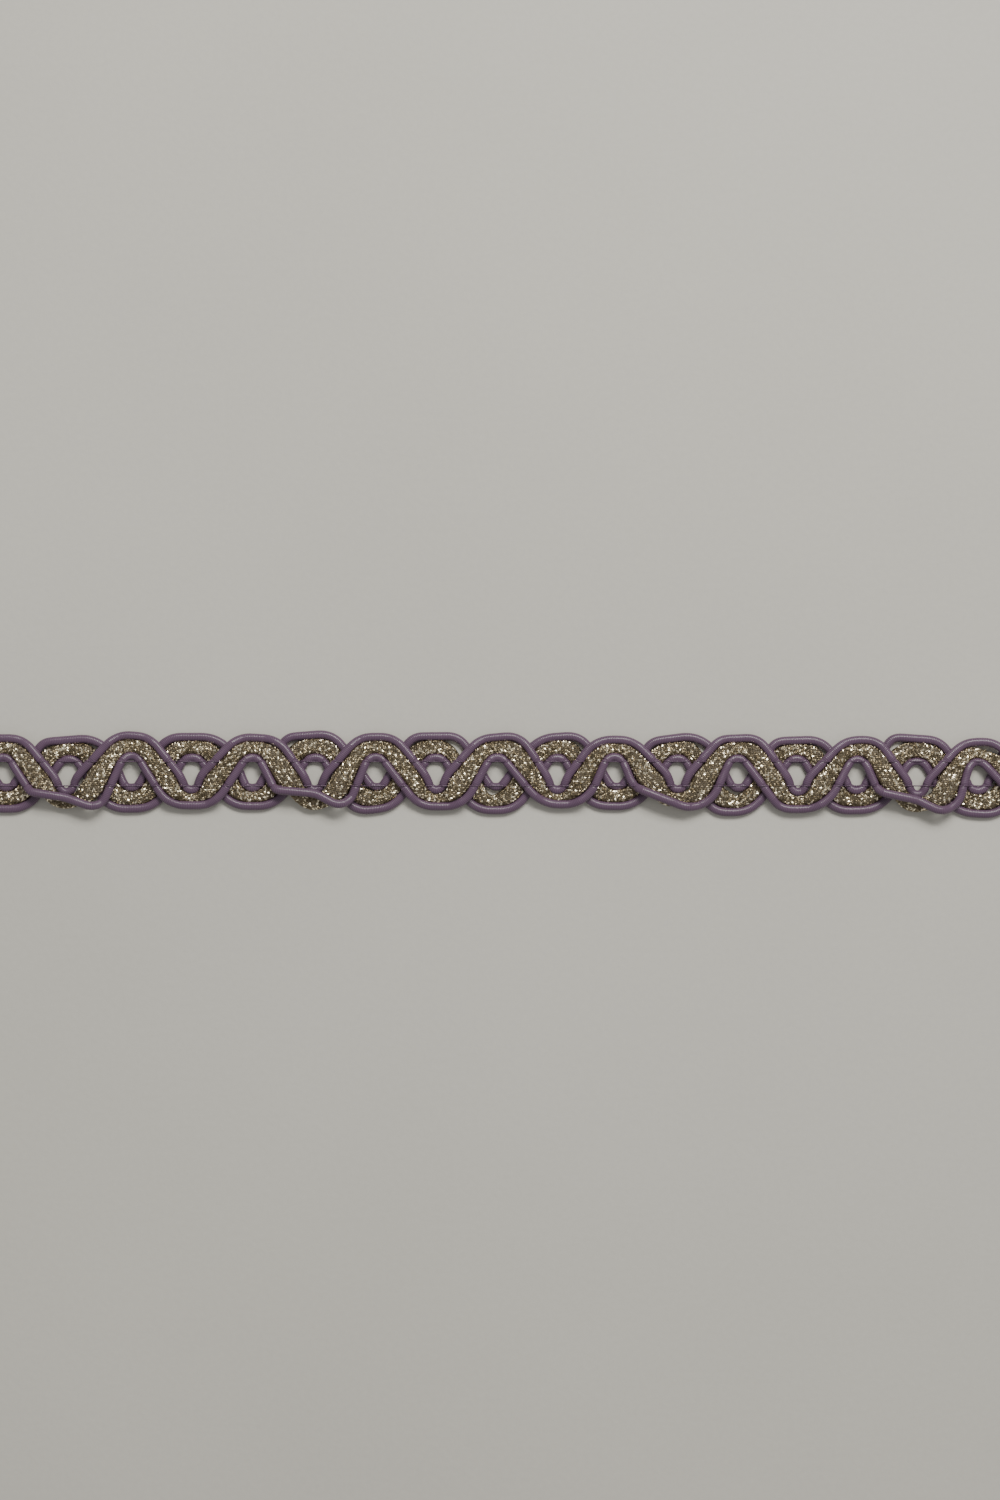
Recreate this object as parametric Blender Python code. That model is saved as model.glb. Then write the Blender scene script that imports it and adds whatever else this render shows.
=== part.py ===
"""Metallic gimp braid trim: a flat cut length of two wavy bands that cross each other.

Each band is a fat gold core cord between two thin wrapped gimp cords. The front band lies over
the back band at every crossing and dips towards the table between the crossings. The back band
lies flat on the table.

Units: the tables and sizes are in millimetres and the meshes are in metres. +X runs along the
trim, +Y across it, +Z up. The origin is at the middle of the length and of the width, on the
plane that the trim rests on.
"""

import math
from collections import namedtuple

import bmesh
import bpy
import numpy as np

METRES_PER_MM = 0.001

# Driving sizes
TRIM_LENGTH = 187.0
GIMP_WIDTH = 0.96
GIMP_HEIGHT = 0.88
GIMP_SIDES = 6
CORE_WIDTH = 2.3
CORE_HEIGHT = 1.15
CORE_SIDES = 8
CORE_LEAST_SCALE = 0.6
CORE_MOST_SCALE = 1.2

# Spaces between the cords
SIDE_GAP = 0.39
SIDE_SLACK = 0.005
CROSSING_GAP = 0.34
FRONT_HOVER = 0.45
LIFT_REACH = 1.2
SWELL_REACH = 1.2

# How square the rise over a cord is: 2 would follow a round section
RISE_POWER = 4

# Fineness of the routes and of the meshes
FINE_STEP = 0.15
SOFTEN_REACH = 0.7
MOST_STEP = 2.2
MOST_TURN = math.radians(30)
SMOOTH_ANGLE = math.radians(50)
WELD_DISTANCE_M = 1e-6

# The waist of a loop over a front trough, where the cord bends out of the hole
WAIST_HALF = 2.0
WAIST_RISE = 2.8
WAIST_TURN = 2.2
WAIST_SLOPE = math.radians(57)

CREST = 1
TROUGH = -1

# A lobe is one crest or trough of a band. The outer gimp turns over a left and a right shoulder,
# given by the place where each round shoulder is furthest out and by its radius. The inner gimp
# turns over one arch. Crests and troughs take turns, and the first and last rows lie past the cuts.
Lobe = namedtuple(
    "Lobe", "left left_y left_turn right right_y right_turn inner inner_y inner_turn")

FRONT_FIRST_SIDE = TROUGH
FRONT_LOBES = [
    Lobe(-100.2, -5.85, 5.4, -98.0, -5.85, 5.4, -99.1, -2.8, 1.2),
    Lobe(-89.7, 6.75, 5.4, -87.4, 6.75, 5.4, -88.6, 3.2, 1.9),
    Lobe(-79.65, -7.25, 4.7, -74.95, -6.9, 4.7, -77.2, -3.2, 1.2),
    Lobe(-66.1, 7.3, 5.0, -64.9, 7.2, 5.4, -65.5, 3.45, 1.9),
    Lobe(-55.9, -5.7, 5.4, -53.55, -5.7, 5.6, -54.8, -2.8, 1.2),
    Lobe(-44.35, 6.9, 5.0, -42.0, 6.75, 5.4, -43.8, 3.15, 1.9),
    Lobe(-35.0, -7.25, 4.7, -30.7, -7.05, 4.7, -32.6, -2.8, 1.2),
    Lobe(-22.4, 7.0, 5.0, -20.7, 7.0, 5.2, -21.7, 3.25, 1.9),
    Lobe(-11.25, -5.9, 5.4, -9.1, -5.9, 5.4, -10.8, -2.8, 1.2),
    Lobe(-0.65, 6.85, 5.0, 2.05, 7.1, 4.3, 0.1, 3.2, 1.9),
    Lobe(11.25, -5.55, 6.8, 12.15, -5.55, 6.1, 10.9, -2.85, 1.2),
    Lobe(20.6, 6.5, 5.8, 22.0, 6.5, 5.8, 21.1, 3.25, 1.9),
    Lobe(31.2, -6.55, 5.0, 34.65, -6.0, 5.0, 32.5, -2.7, 1.3),
    Lobe(41.5, 6.65, 3.25, 45.1, 6.8, 3.8, 43.2, 3.0, 1.8),
    Lobe(52.85, -6.4, 4.0, 54.8, -6.4, 6.8, 54.1, -3.2, 1.2),
    Lobe(65.05, 6.45, 6.1, 66.2, 6.45, 4.2, 64.7, 2.8, 1.8),
    Lobe(74.05, -7.45, 4.3, 78.4, -7.45, 4.3, 75.5, -3.65, 1.3),
    Lobe(86.3, 6.1, 6.1, 87.55, 6.1, 4.3, 86.3, 2.35, 1.8),
    Lobe(97.8, -7.1, 5.4, 100.0, -7.1, 5.4, 97.5, -3.5, 1.2),
]

BACK_FIRST_SIDE = CREST
BACK_LOBES = [
    Lobe(-99.8, 6.6, 5.0, -97.3, 6.6, 5.0, -99.1, 2.95, 2.0),
    Lobe(-89.0, -6.35, 5.8, -87.2, -6.35, 5.8, -88.1, -2.4, 1.7),
    Lobe(-80.1, 6.2, 2.5, -74.4, 6.65, 6.0, -76.8, 2.85, 2.1),
    Lobe(-66.7, -6.35, 5.8, -64.6, -6.3, 5.8, -65.6, -2.4, 1.6),
    Lobe(-56.8, 7.0, 4.7, -53.0, 7.0, 6.5, -54.7, 3.15, 2.2),
    Lobe(-44.75, -5.85, 5.8, -42.75, -5.85, 5.8, -43.85, -2.45, 1.6),
    Lobe(-36.2, 7.1, 2.6, -31.6, 7.45, 4.7, -32.6, 3.15, 2.2),
    Lobe(-23.5, -6.6, 4.3, -21.7, -6.4, 5.8, -21.5, -2.25, 1.7),
    Lobe(-13.4, 7.1, 3.25, -8.7, 7.15, 3.8, -10.9, 3.15, 2.2),
    Lobe(-1.15, -6.6, 5.4, 0.65, -6.6, 5.4, -0.1, -2.25, 1.7),
    Lobe(10.8, 7.0, 6.4, 13.0, 7.15, 4.2, 10.9, 3.1, 1.8),
    Lobe(19.9, -5.85, 5.4, 21.9, -5.9, 6.4, 21.6, -2.2, 1.7),
    Lobe(29.7, 6.45, 3.25, 34.1, 7.0, 6.0, 32.5, 3.0, 2.1),
    Lobe(41.3, -6.95, 4.3, 42.75, -6.95, 6.1, 43.45, -2.45, 1.7),
    Lobe(51.7, 6.3, 2.9, 56.15, 6.45, 4.8, 53.9, 2.9, 2.0),
    Lobe(63.25, -6.65, 5.4, 65.45, -6.6, 6.5, 64.7, -2.9, 1.6),
    Lobe(72.3, 6.9, 2.3, 77.3, 6.55, 4.5, 75.5, 2.45, 2.1),
    Lobe(86.3, -7.2, 7.6, 87.95, -7.3, 5.4, 86.5, -2.95, 1.7),
    Lobe(94.95, 6.15, 4.7, 98.9, 6.15, 4.7, 97.45, 2.2, 2.0),
]

# A turn is a round bend of a cord: the place where it is furthest out, its radius, and whether
# the cord passes over it, as on a crest, or under it, as in a trough.
Turn = namedtuple("Turn", "x y radius side")

# At four front troughs the lower gimp has slipped up and lies across the gold core. Its turns
# there, by the row of the trough.
SLIPPED_TURNS = {
    2: [Turn(-82.9, -3.1, 1.1, TROUGH), Turn(-78.9, -3.85, 7.0, CREST),
        Turn(-72.35, -5.6, 2.5, TROUGH)],
    6: [Turn(-38.95, -2.75, 1.1, TROUGH), Turn(-33.4, -3.25, 3.6, CREST),
        Turn(-28.15, -5.25, 2.6, TROUGH)],
    12: [Turn(27.25, -2.95, 3.6, TROUGH), Turn(34.65, -5.75, 5.4, TROUGH)],
    16: [Turn(69.95, -3.35, 2.2, TROUGH), Turn(74.05, -4.35, 3.6, CREST),
         Turn(79.75, -6.35, 3.6, TROUGH)],
}

# Looks: base colour, roughness, metallic value
GIMP_LOOK = ((0.13, 0.085, 0.16), 0.45, 0.0)
CORE_LOOK = ((0.30, 0.25, 0.13), 0.35, 0.85)

# A laid strand: its points in plan, the height of its underside, its half width and its height
Strand = namedtuple("Strand", "plan underside half_width height")


def clear_scene():
    """Remove the objects that the scene starts with."""
    for obj in list(bpy.data.objects):
        bpy.data.objects.remove(obj, do_unlink=True)


def make_collection(name):
    """Return a new collection in the scene."""
    collection = bpy.data.collections.new(name)
    bpy.context.scene.collection.children.link(collection)
    return collection


def make_material(name, look):
    """Return a Principled material with the base colour, roughness and metallic value of a look."""
    colour, roughness, metallic = look
    material = bpy.data.materials.new(name)
    material.use_nodes = True
    shader = material.node_tree.nodes["Principled BSDF"]
    shader.inputs["Base Color"].default_value = (*colour, 1.0)
    shader.inputs["Roughness"].default_value = roughness
    shader.inputs["Metallic"].default_value = metallic
    material.diffuse_color = (*colour, 1.0)
    return material


def lobe_side(row, first_side):
    """Say whether the lobe in a row is a crest or a trough."""
    return first_side if row % 2 == 0 else -first_side


def waist_turn(lobe, hand):
    """Return the bend beside a narrow loop, on its left (hand -1) or right (hand 1)."""
    slope = WAIST_SLOPE * hand
    x = lobe.inner + hand * WAIST_HALF + WAIST_TURN * math.sin(slope)
    y = lobe.inner_y + WAIST_RISE + WAIST_TURN * (1.0 - math.cos(slope))
    return Turn(x, y, WAIST_TURN, CREST)


def gimp_turns(lobes, first_side, cord_side, slipped, waisted):
    """List the turns of the upper (CREST) or lower (TROUGH) gimp of a band."""
    turns = []
    for row, lobe in enumerate(lobes):
        side = lobe_side(row, first_side)
        inner = Turn(lobe.inner, lobe.inner_y, lobe.inner_turn, side)
        if side != cord_side and waisted:
            turns += [waist_turn(lobe, -1), inner, waist_turn(lobe, 1)]
        elif side != cord_side:
            turns.append(inner)
        elif row in slipped:
            turns += slipped[row]
        else:
            turns.append(Turn(lobe.left, lobe.left_y, lobe.left_turn, side))
            turns.append(Turn(lobe.right, lobe.right_y, lobe.right_turn, side))
    return turns


def core_turns(lobes, first_side):
    """List the turns of a band's core, half way between those of its two gimps."""
    turns = []
    for row, lobe in enumerate(lobes):
        side = lobe_side(row, first_side)
        shoulders = ((lobe.left, lobe.left_y, lobe.left_turn),
                     (lobe.right, lobe.right_y, lobe.right_turn))
        for x, y, radius in shoulders:
            turns.append(Turn((x + lobe.inner) / 2, (y + lobe.inner_y) / 2,
                              (radius + lobe.inner_turn) / 2, side))
    return turns


def spaced_evenly(points):
    """Return points at even steps along the line through the given ones."""
    steps = np.hypot(*np.diff(points, axis=0).T)
    along = np.concatenate([[0.0], np.cumsum(steps)])
    wanted = np.linspace(0.0, along[-1], int(along[-1] / FINE_STEP) + 1)
    return np.stack([np.interp(wanted, along, points[:, axis]) for axis in (0, 1)], axis=1)


def running_mean(values, reach):
    """Average values over a reach to both sides of each point of an even line."""
    half = round(reach / FINE_STEP)
    padded = np.pad(values, half, mode="edge")
    return np.convolve(padded, np.full(2 * half + 1, 1.0 / (2 * half + 1)), mode="valid")


def running_most(values, reach):
    """Return the highest value within a reach to both sides of each point of an even line."""
    half = round(reach / FINE_STEP)
    padded = np.pad(values, half, mode="edge")
    return np.lib.stride_tricks.sliding_window_view(padded, 2 * half + 1).max(axis=1)


def route_round(turns):
    """Return the line of a cord pulled over and under its turns, softened a little."""
    centres = [np.array((turn.x, turn.y - turn.side * turn.radius)) for turn in turns]
    headings = [0.0]
    for turn, following, centre, next_centre in zip(turns, turns[1:], centres, centres[1:]):
        way = next_centre - centre
        lean = (turn.side * turn.radius - following.side * following.radius) / math.hypot(*way)
        headings.append(math.atan2(way[1], way[0]) - math.asin(lean))
    headings.append(0.0)
    points = []
    for turn, centre, arriving, leaving in zip(turns, centres, headings, headings[1:]):
        count = max(1, math.ceil(abs(leaving - arriving) * turn.radius / FINE_STEP))
        for heading in np.linspace(arriving, leaving, count + 1):
            outward = np.array((-math.sin(heading), math.cos(heading)))
            points.append(centre + outward * turn.side * turn.radius)
    line = spaced_evenly(np.array(points))
    return np.stack([running_mean(line[:, axis], SOFTEN_REACH) for axis in (0, 1)], axis=1)


def distances(points, others):
    """Return the distance from every point to every other point, one row a point."""
    return np.hypot(points[:, None, 0] - others[None, :, 0], points[:, None, 1] - others[None, :, 1])


def core_scales(core_plan, gimp_plans):
    """Scale a core's section along its line to fill what its two gimps leave between them."""
    room = np.min([distances(core_plan, plan).min(axis=1) for plan in gimp_plans], axis=0)
    half_width = room - GIMP_WIDTH / 2 - SIDE_GAP
    half_width = running_mean(-running_most(-half_width, SWELL_REACH), SWELL_REACH)
    return np.clip(half_width / (CORE_WIDTH / 2), CORE_LEAST_SCALE, CORE_MOST_SCALE)


def lifted(plan, half_width, height, rest, strands_below):
    """Return the underside heights of a strand that rests at a height or on the strands below."""
    needed = np.full(len(plan), rest)
    for below in strands_below:
        apart = distances(plan, below.plan)
        reach = half_width[:, None] + below.half_width[None, :] + SIDE_GAP - SIDE_SLACK
        share = np.clip(1.0 - (apart / reach) ** RISE_POWER, 0.0, None) ** (1 / RISE_POWER)
        centre_below = below.underside + below.height / 2
        rise = (height[:, None] + below.height[None, :]) / 2 + CROSSING_GAP
        centre = centre_below[None, :] + rise * share
        clear = np.where(share > 0.0, centre - height[:, None] / 2, rest)
        needed = np.maximum(needed, clear.max(axis=1))
    return running_mean(running_most(needed, LIFT_REACH), LIFT_REACH)


def lay_strand(plan, width, height, scale, rest, strands_below):
    """Lay a strand on the table or on what is below it."""
    half_width = width / 2 * scale
    heights = height * scale
    underside = lifted(plan, half_width, heights, rest, strands_below)
    return Strand(plan, underside, half_width, heights)


def lay_band(lobes, first_side, slipped, waisted_upper, rest, strands_below):
    """Lay a band's core and its two gimps, and return them by name."""
    core_plan = route_round(core_turns(lobes, first_side))
    upper_plan = route_round(gimp_turns(lobes, first_side, CREST, {}, waisted_upper))
    lower_plan = route_round(gimp_turns(lobes, first_side, TROUGH, {}, False))
    scale = core_scales(core_plan, (upper_plan, lower_plan))
    core = lay_strand(core_plan, CORE_WIDTH, CORE_HEIGHT, scale, rest, strands_below)
    if slipped:
        lower_plan = route_round(gimp_turns(lobes, first_side, TROUGH, slipped, False))
    under_gimps = strands_below + [core]
    gimps = [lay_strand(plan, GIMP_WIDTH, GIMP_HEIGHT, np.ones(len(plan)), rest, under_gimps)
             for plan in (upper_plan, lower_plan)]
    return {"core": core, "upper_gimp": gimps[0], "lower_gimp": gimps[1]}


def kept_points(points):
    """Choose the points that a mesh needs: close together in bends, further apart elsewhere."""
    ways = np.diff(points, axis=0)
    lengths = np.linalg.norm(ways, axis=1)
    ways = ways / lengths[:, None]
    kept = [0]
    for index in range(1, len(points) - 1):
        start = kept[-1]
        turned = math.acos(min(1.0, float(ways[start] @ ways[index])))
        if turned > MOST_TURN or lengths[start:index + 1].sum() > MOST_STEP:
            kept.append(index)
    return kept + [len(points) - 1]


def section_points(width, height, sides):
    """Return the corners of a rounded section that stands on a flat side at height zero."""
    angles = [2 * math.pi * (index + 0.5) / sides - math.pi / 2 for index in range(sides)]
    widest = max(abs(math.cos(angle)) for angle in angles)
    tallest = max(abs(math.sin(angle)) for angle in angles)
    return [(width / 2 * math.cos(angle) / widest, height / 2 * (1 + math.sin(angle) / tallest))
            for angle in angles]


def poly_curve(name, dimensions, points, radii, collection):
    """Return a curve object of straight steps through points in millimetres."""
    curve = bpy.data.curves.new(name, "CURVE")
    curve.dimensions = dimensions
    spline = curve.splines.new("POLY")
    spline.points.add(len(points) - 1)
    for target, point, radius in zip(spline.points, points, radii):
        place = [float(value) * METRES_PER_MM for value in point]
        target.co = (*place, 0.0, 1.0) if len(place) == 2 else (*place, 1.0)
        target.radius = float(radius)
    obj = bpy.data.objects.new(name, curve)
    collection.objects.link(obj)
    return obj


def make_section(name, width, height, sides, guides):
    """Return a closed outline that strands are swept with."""
    section = poly_curve(name, "2D", section_points(width, height, sides), [1.0] * sides, guides)
    section.data.splines[0].use_cyclic_u = True
    section.hide_render = True
    section.display_type = "WIRE"
    return section


def cut_square(mesh):
    """Weld a swept strand and cut it off square at both ends of the trim."""
    cut_mesh = bmesh.new()
    cut_mesh.from_mesh(mesh)
    bmesh.ops.remove_doubles(cut_mesh, verts=cut_mesh.verts, dist=WELD_DISTANCE_M)
    for end in (-1, 1):
        everything = cut_mesh.verts[:] + cut_mesh.edges[:] + cut_mesh.faces[:]
        bmesh.ops.bisect_plane(
            cut_mesh, geom=everything, clear_outer=True, plane_no=(end, 0, 0),
            plane_co=(end * TRIM_LENGTH / 2 * METRES_PER_MM, 0, 0))
        rim = [edge for edge in cut_mesh.edges if edge.is_boundary]
        bmesh.ops.holes_fill(cut_mesh, edges=rim)
    bmesh.ops.recalc_face_normals(cut_mesh, faces=cut_mesh.faces)
    cut_mesh.to_mesh(mesh)
    cut_mesh.free()


def make_strand(name, strand, section, full_width, material, collection):
    """Sweep a section along a laid strand and return the solid as a mesh object."""
    points = np.column_stack([strand.plan, strand.underside])
    kept = kept_points(points)
    scale = strand.half_width[kept] / (full_width / 2)
    path = poly_curve(name + "_path", "3D", points[kept], scale, collection)
    path.data.twist_mode = "Z_UP"
    path.data.bevel_mode = "OBJECT"
    path.data.bevel_object = section
    path.data.use_fill_caps = True
    graph = bpy.context.evaluated_depsgraph_get()
    mesh = bpy.data.meshes.new_from_object(path.evaluated_get(graph))
    bpy.data.objects.remove(path, do_unlink=True)
    cut_square(mesh)
    mesh.name = name
    mesh.materials.clear()
    mesh.materials.append(material)
    mesh.shade_smooth()
    mesh.set_sharp_from_angle(angle=SMOOTH_ANGLE)
    obj = bpy.data.objects.new(name, mesh)
    collection.objects.link(obj)
    return obj


def main():
    """Model the six strands of the trim."""
    clear_scene()
    trim = make_collection("metallic_trim")
    guides = make_collection("guides")
    gimp_section = make_section("gimp_section", GIMP_WIDTH, GIMP_HEIGHT, GIMP_SIDES, guides)
    core_section = make_section("core_section", CORE_WIDTH, CORE_HEIGHT, CORE_SIDES, guides)

    back = lay_band(BACK_LOBES, BACK_FIRST_SIDE, {}, False, 0.0, [])
    front = lay_band(FRONT_LOBES, FRONT_FIRST_SIDE, SLIPPED_TURNS, True, FRONT_HOVER,
                     list(back.values()))

    for band_name, band in (("back", back), ("front", front)):
        for cord_name, strand in band.items():
            name = band_name + "_" + cord_name
            is_core = cord_name == "core"
            section = core_section if is_core else gimp_section
            width = CORE_WIDTH if is_core else GIMP_WIDTH
            material = make_material(name, CORE_LOOK if is_core else GIMP_LOOK)
            make_strand(name, strand, section, width, material, trim)


main()
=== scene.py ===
"""Looks of a metallic gimp braid trim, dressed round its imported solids.

Two wavy bands cross each other. Each band is a gold core, plaited from foil yarn, between two thin
cords that are wrapped in lilac satin thread. Two rows of sewing thread hold the cords together.

Tables and sizes are in millimetres and meshes in metres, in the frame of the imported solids: +X
along the trim, +Y across it, +Z up from the table.
"""

import logging
import math
from collections.abc import Callable
from dataclasses import dataclass, field
from enum import Enum
from typing import Any

import bmesh
import bpy
import numpy as np
from mathutils import Matrix, Vector
from numpy.typing import NDArray


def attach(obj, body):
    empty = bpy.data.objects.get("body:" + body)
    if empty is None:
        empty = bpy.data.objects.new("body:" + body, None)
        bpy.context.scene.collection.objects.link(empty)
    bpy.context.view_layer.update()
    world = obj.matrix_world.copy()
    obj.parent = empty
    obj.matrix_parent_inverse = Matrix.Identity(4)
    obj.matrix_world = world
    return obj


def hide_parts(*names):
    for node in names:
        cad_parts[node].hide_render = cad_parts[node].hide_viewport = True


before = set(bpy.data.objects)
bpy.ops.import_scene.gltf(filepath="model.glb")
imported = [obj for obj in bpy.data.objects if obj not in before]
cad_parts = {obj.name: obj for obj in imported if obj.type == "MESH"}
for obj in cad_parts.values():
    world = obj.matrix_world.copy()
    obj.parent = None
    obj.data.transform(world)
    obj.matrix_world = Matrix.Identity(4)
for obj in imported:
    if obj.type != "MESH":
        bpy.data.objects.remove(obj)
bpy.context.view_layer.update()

Floats = NDArray[np.float64]
Colour = tuple[float, float, float]

METRES_PER_MM = 0.001
BODY = "root"
PATH_NUMBERS = ("thick", "tall", "middle")

log = logging.getLogger("metallic_trim")


class Side(Enum):
    """The way a bend of a cord bulges, as the sign of its Y."""

    CREST = 1
    TROUGH = -1


class Cord(Enum):
    """The three cords of a band, by the last part of their node's name."""

    CORE = "core"
    UPPER_GIMP = "upper_gimp"
    LOWER_GIMP = "lower_gimp"


# Shapes of the bands


@dataclass(frozen=True)
class Lobe:
    """One crest or trough of a band, in millimetres.

    The outer gimp turns over a left and a right shoulder, given by the place where each is furthest
    out and by its radius. The inner gimp turns over one arch.
    """

    left: float
    left_y: float
    left_turn: float
    right: float
    right_y: float
    right_turn: float
    inner: float
    inner_y: float
    inner_turn: float


@dataclass(frozen=True)
class Turn:
    """A round bend: where the cord is furthest out, its radius, and the way it bulges."""

    x: float
    y: float
    radius: float
    side: Side


FRONT_LOBES = (
    Lobe(-100.2, -5.85, 5.4, -98.0, -5.85, 5.4, -99.1, -2.8, 1.2),
    Lobe(-89.7, 6.75, 5.4, -87.4, 6.75, 5.4, -88.6, 3.2, 1.9),
    Lobe(-79.65, -7.25, 4.7, -74.95, -6.9, 4.7, -77.2, -3.2, 1.2),
    Lobe(-66.1, 7.3, 5.0, -64.9, 7.2, 5.4, -65.5, 3.45, 1.9),
    Lobe(-55.9, -5.7, 5.4, -53.55, -5.7, 5.6, -54.8, -2.8, 1.2),
    Lobe(-44.35, 6.9, 5.0, -42.0, 6.75, 5.4, -43.8, 3.15, 1.9),
    Lobe(-35.0, -7.25, 4.7, -30.7, -7.05, 4.7, -32.6, -2.8, 1.2),
    Lobe(-22.4, 7.0, 5.0, -20.7, 7.0, 5.2, -21.7, 3.25, 1.9),
    Lobe(-11.25, -5.9, 5.4, -9.1, -5.9, 5.4, -10.8, -2.8, 1.2),
    Lobe(-0.65, 6.85, 5.0, 2.05, 7.1, 4.3, 0.1, 3.2, 1.9),
    Lobe(11.25, -5.55, 6.8, 12.15, -5.55, 6.1, 10.9, -2.85, 1.2),
    Lobe(20.6, 6.5, 5.8, 22.0, 6.5, 5.8, 21.1, 3.25, 1.9),
    Lobe(31.2, -6.55, 5.0, 34.65, -6.0, 5.0, 32.5, -2.7, 1.3),
    Lobe(41.5, 6.65, 3.25, 45.1, 6.8, 3.8, 43.2, 3.0, 1.8),
    Lobe(52.85, -6.4, 4.0, 54.8, -6.4, 6.8, 54.1, -3.2, 1.2),
    Lobe(65.05, 6.45, 6.1, 66.2, 6.45, 4.2, 64.7, 2.8, 1.8),
    Lobe(74.05, -7.45, 4.3, 78.4, -7.45, 4.3, 75.5, -3.65, 1.3),
    Lobe(86.3, 6.1, 6.1, 87.55, 6.1, 4.3, 86.3, 2.35, 1.8),
    Lobe(97.8, -7.1, 5.4, 100.0, -7.1, 5.4, 97.5, -3.5, 1.2),
)

BACK_LOBES = (
    Lobe(-99.8, 6.6, 5.0, -97.3, 6.6, 5.0, -99.1, 2.95, 2.0),
    Lobe(-89.0, -6.35, 5.8, -87.2, -6.35, 5.8, -88.1, -2.4, 1.7),
    Lobe(-80.1, 6.2, 2.5, -74.4, 6.65, 6.0, -76.8, 2.85, 2.1),
    Lobe(-66.7, -6.35, 5.8, -64.6, -6.3, 5.8, -65.6, -2.4, 1.6),
    Lobe(-56.8, 7.0, 4.7, -53.0, 7.0, 6.5, -54.7, 3.15, 2.2),
    Lobe(-44.75, -5.85, 5.8, -42.75, -5.85, 5.8, -43.85, -2.45, 1.6),
    Lobe(-36.2, 7.1, 2.6, -31.6, 7.45, 4.7, -32.6, 3.15, 2.2),
    Lobe(-23.5, -6.6, 4.3, -21.7, -6.4, 5.8, -21.5, -2.25, 1.7),
    Lobe(-13.4, 7.1, 3.25, -8.7, 7.15, 3.8, -10.9, 3.15, 2.2),
    Lobe(-1.15, -6.6, 5.4, 0.65, -6.6, 5.4, -0.1, -2.25, 1.7),
    Lobe(10.8, 7.0, 6.4, 13.0, 7.15, 4.2, 10.9, 3.1, 1.8),
    Lobe(19.9, -5.85, 5.4, 21.9, -5.9, 6.4, 21.6, -2.2, 1.7),
    Lobe(29.7, 6.45, 3.25, 34.1, 7.0, 6.0, 32.5, 3.0, 2.1),
    Lobe(41.3, -6.95, 4.3, 42.75, -6.95, 6.1, 43.45, -2.45, 1.7),
    Lobe(51.7, 6.3, 2.9, 56.15, 6.45, 4.8, 53.9, 2.9, 2.0),
    Lobe(63.25, -6.65, 5.4, 65.45, -6.6, 6.5, 64.7, -2.9, 1.6),
    Lobe(72.3, 6.9, 2.3, 77.3, 6.55, 4.5, 75.5, 2.45, 2.1),
    Lobe(86.3, -7.2, 7.6, 87.95, -7.3, 5.4, 86.5, -2.95, 1.7),
    Lobe(94.95, 6.15, 4.7, 98.9, 6.15, 4.7, 97.45, 2.2, 2.0),
)

# The turns of the front band's lower gimp at the troughs where it has slipped over the gold, by row
SLIPPED_TURNS = {
    2: (Turn(-82.9, -3.1, 1.1, Side.TROUGH), Turn(-78.9, -3.85, 7.0, Side.CREST),
        Turn(-72.35, -5.6, 2.5, Side.TROUGH)),
    6: (Turn(-38.95, -2.75, 1.1, Side.TROUGH), Turn(-33.4, -3.25, 3.6, Side.CREST),
        Turn(-28.15, -5.25, 2.6, Side.TROUGH)),
    12: (Turn(27.25, -2.95, 3.6, Side.TROUGH), Turn(34.65, -5.75, 5.4, Side.TROUGH)),
    16: (Turn(69.95, -3.35, 2.2, Side.TROUGH), Turn(74.05, -4.35, 3.6, Side.CREST),
         Turn(79.75, -6.35, 3.6, Side.TROUGH)),
}

# The turns of the line that bounds the gold where the gimp has slipped off it, by row
BARE_EDGES = {
    2: (Turn(-82.6, -3.1, 1.4, Side.TROUGH), Turn(-77.5, -6.8, 4.6, Side.TROUGH),
        Turn(-72.8, -5.85, 3.0, Side.TROUGH)),
    6: (Turn(-38.6, -2.75, 1.4, Side.TROUGH), Turn(-32.8, -7.1, 4.4, Side.TROUGH),
        Turn(-28.6, -5.5, 3.0, Side.TROUGH)),
    12: (Turn(27.4, -3.2, 3.4, Side.TROUGH), Turn(31.2, -6.4, 4.2, Side.TROUGH),
         Turn(34.65, -6.0, 5.0, Side.TROUGH)),
    16: (Turn(70.1, -3.4, 2.2, Side.TROUGH), Turn(75.1, -7.4, 4.4, Side.TROUGH),
         Turn(79.5, -6.6, 3.8, Side.TROUGH)),
}


@dataclass(frozen=True)
class Slip:
    """A place where a core has slipped down off its upper gimp, so that a slit shows between them."""

    x: float
    reach: float
    depth: float


BACK_SLIPS = (Slip(-7.4, 1.3, 0.62), Slip(-1.3, 2.0, 0.48), Slip(14.6, 1.0, 0.35),
              Slip(36.3, 1.0, 0.45), Slip(42.7, 1.5, 0.38), Slip(58.2, 0.9, 0.35))
FRONT_SLIPS = (Slip(88.0, 1.7, 0.46),)


# Lines


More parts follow.
